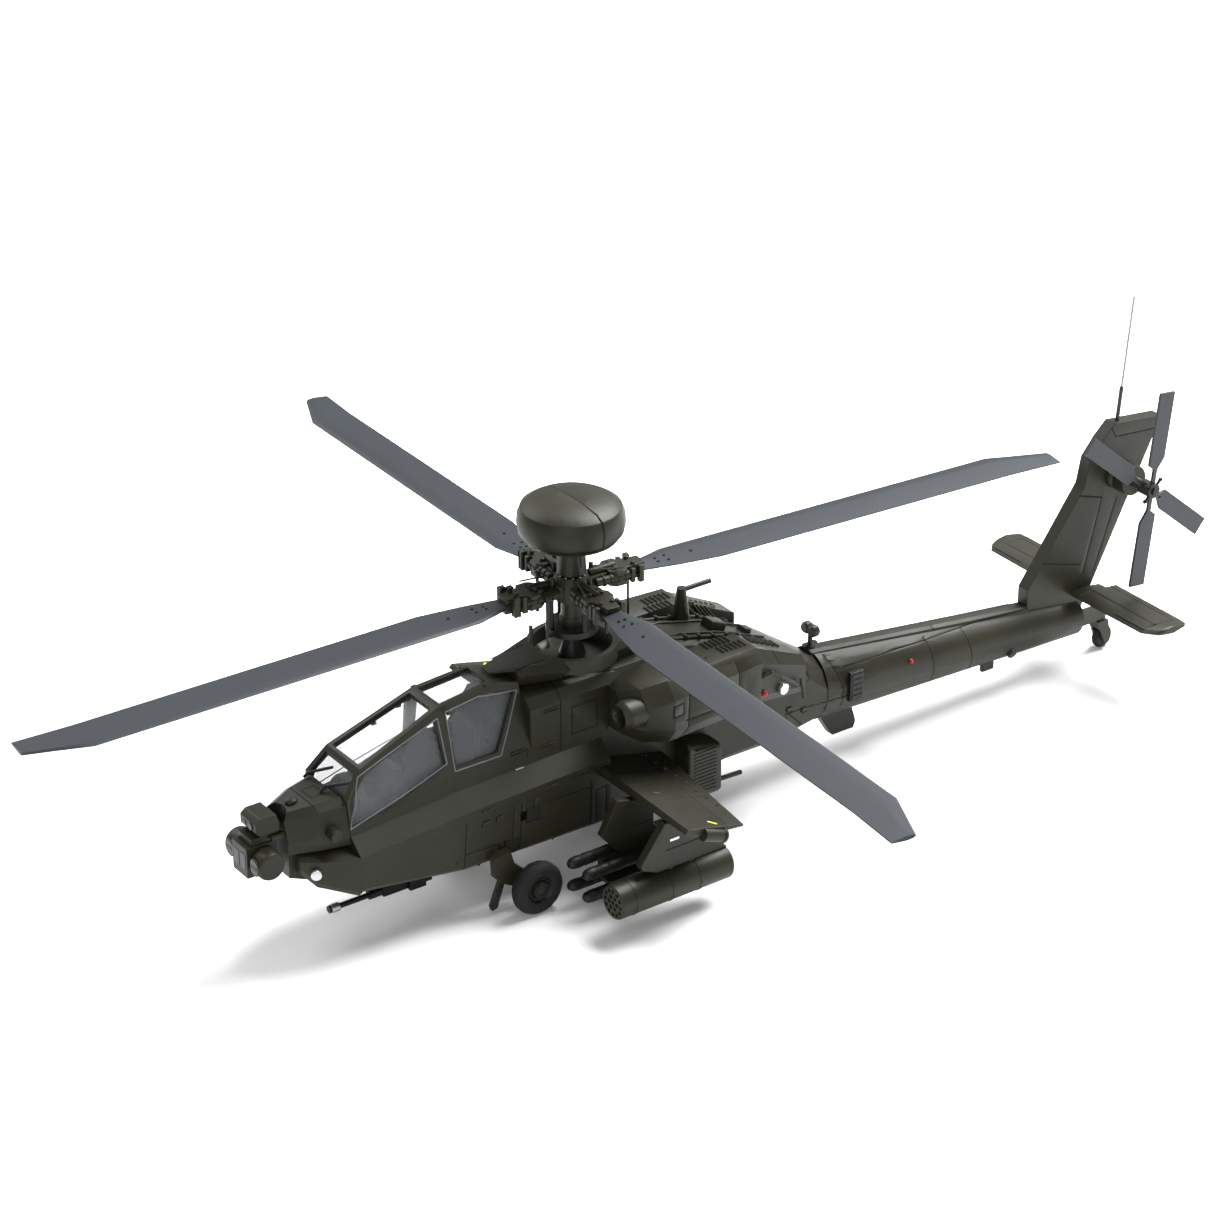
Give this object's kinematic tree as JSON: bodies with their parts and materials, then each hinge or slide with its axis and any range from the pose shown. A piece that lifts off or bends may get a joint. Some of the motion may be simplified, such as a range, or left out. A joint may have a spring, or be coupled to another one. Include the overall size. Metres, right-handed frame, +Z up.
{
  "type": "toy helicopter",
  "caption": "Small-scale display model of a tandem-seat attack helicopter with mast radome, stub wings with stores, turning rotors and wheels.",
  "frame": {"origin": "on the surface it stands on, at the middle of the overall bounding box", "axes": "+Z up along the rotor mast, +Y towards the tail, +X to port (the crew's left), nose towards -Y"},
  "size_m": [0.2025, 0.2446, 0.0736],
  "materials": {
    "olive_paint": "satin dark olive-drab paint",
    "blade_grey": "semi-matt blue-grey",
    "tail_blade_grey": "matt mid grey",
    "black_tyre": "matt black",
    "dark_metal": "satin near-black paint",
    "clear_pane": "clear moulded plastic",
    "cockpit_grey": "matt grey",
    "seat_black": "matt black",
    "steel": "plain steel",
    "missile_paint": "olive paint with dark nose"
  },
  "bodies": {
    "airframe": {"fuselage_left": "olive_paint", "fuselage_right": "olive_paint", "belly_chassis": "cockpit_grey", "fuselage_screws": "steel", "nose_fairing": "olive_paint", "chin_fairings": "olive_paint", "avionics_bay_left": "olive_paint", "avionics_bay_right": "olive_paint", "cockpit_tub": "cockpit_grey", "instrument_panels": "cockpit_grey", "crew_seats": "seat_black", "canopy_frame": "olive_paint", "canopy_glass": "clear_pane", "mast_fairing": "olive_paint", "rotor_spindle": "steel", "radome": "olive_paint", "engine_nacelle_left": "olive_paint", "engine_nacelle_right": "olive_paint", "engine_intakes": "olive_paint", "engine_exhausts": "olive_paint", "wing_left": "olive_paint", "wing_right": "olive_paint", "pylons": "olive_paint", "rocket_pod_left": "olive_paint", "rocket_pod_right": "olive_paint", "missile_rack_left": "olive_paint", "missile_rack_right": "olive_paint", "missiles_left": "missile_paint", "missiles_right": "missile_paint", "gear_leg_left": "olive_paint", "gear_leg_right": "olive_paint", "tail_fin": "olive_paint", "whip_antenna": "olive_paint", "pitot_mast": "olive_paint", "boom_sensor": "olive_paint", "belly_antenna": "olive_paint", "equipment_boxes": "olive_paint", "tail_bracket": "olive_paint"},
    "main_rotor": {"rotor_hub": "olive_paint", "blade_grips": "olive_paint", "main_blade_1": "blade_grey", "main_blade_2": "blade_grey", "main_blade_3": "blade_grey", "main_blade_4": "blade_grey", "swashplate": "dark_metal"},
    "tail_rotor": {"tail_rotor_hub": "olive_paint", "tail_blades": "tail_blade_grey"},
    "wheel_left": {"tyre_left": "black_tyre", "rim_left": "dark_metal"},
    "wheel_right": {"tyre_right": "black_tyre", "rim_right": "dark_metal"},
    "stabilator": {"stabilator": "olive_paint"},
    "tail_fork": {"tail_fork": "olive_paint"},
    "tail_wheel": {"tail_wheel": "black_tyre"},
    "gun_turntable": {"gun_mount": "dark_metal"},
    "gun": {"chain_gun": "dark_metal"},
    "sensor_yoke": {"sensor_turret": "olive_paint"},
    "sensor_drum": {"sensor_drum": "olive_paint"},
    "night_sensor": {"night_sensor": "olive_paint"}
  },
  "joints": [
    {"name": "main_rotor_spin", "type": "hinge", "parent": "airframe", "child": "main_rotor", "pos_m": [0, -0.02104, 0.0517], "axis": [0, 0, 1], "continuous": true},
    {"name": "tail_rotor_spin", "type": "hinge", "parent": "airframe", "child": "tail_rotor", "pos_m": [0.0096, 0.10586, 0.038], "axis": [1, 0, 0], "continuous": true},
    {"name": "wheel_left_roll", "type": "hinge", "parent": "airframe", "child": "wheel_left", "pos_m": [0.0152, -0.03934, 0.0049], "axis": [1, 0, 0], "continuous": true},
    {"name": "wheel_right_roll", "type": "hinge", "parent": "airframe", "child": "wheel_right", "pos_m": [-0.0152, -0.03934, 0.0049], "axis": [1, 0, 0], "continuous": true},
    {"name": "stabilator_tilt", "type": "hinge", "parent": "airframe", "child": "stabilator", "pos_m": [0, 0.09796, 0.0154], "axis": [-1, 0, 0], "range_deg": [-5, 35]},
    {"name": "tail_castor", "type": "hinge", "parent": "airframe", "child": "tail_fork", "pos_m": [0, 0.10396, 0.007], "axis": [0, 0, 1], "continuous": true},
    {"name": "tail_wheel_roll", "type": "hinge", "parent": "tail_fork", "child": "tail_wheel", "pos_m": [0, 0.10556, 0.00235], "axis": [1, 0, 0], "continuous": true},
    {"name": "gun_pan", "type": "hinge", "parent": "airframe", "child": "gun_turntable", "pos_m": [0, -0.05504, 0.009], "axis": [0, 0, 1], "range_deg": [-86, 86]},
    {"name": "gun_tilt", "type": "hinge", "parent": "gun_turntable", "child": "gun", "pos_m": [0, -0.05504, 0.0046], "axis": [-1, 0, 0], "range_deg": [-10, 11]},
    {"name": "sensor_pan", "type": "hinge", "parent": "airframe", "child": "sensor_yoke", "pos_m": [0, -0.08564, 0.021], "axis": [0, 0, 1], "range_deg": [-12, 12]},
    {"name": "sensor_tilt", "type": "hinge", "parent": "sensor_yoke", "child": "sensor_drum", "pos_m": [0, -0.08564, 0.0208], "axis": [1, 0, 0], "range_deg": [-30, 60]},
    {"name": "night_sight_pan", "type": "hinge", "parent": "airframe", "child": "night_sensor", "pos_m": [0, -0.08304, 0.026], "axis": [0, 0, 1], "range_deg": [-60, 60]}
  ]
}
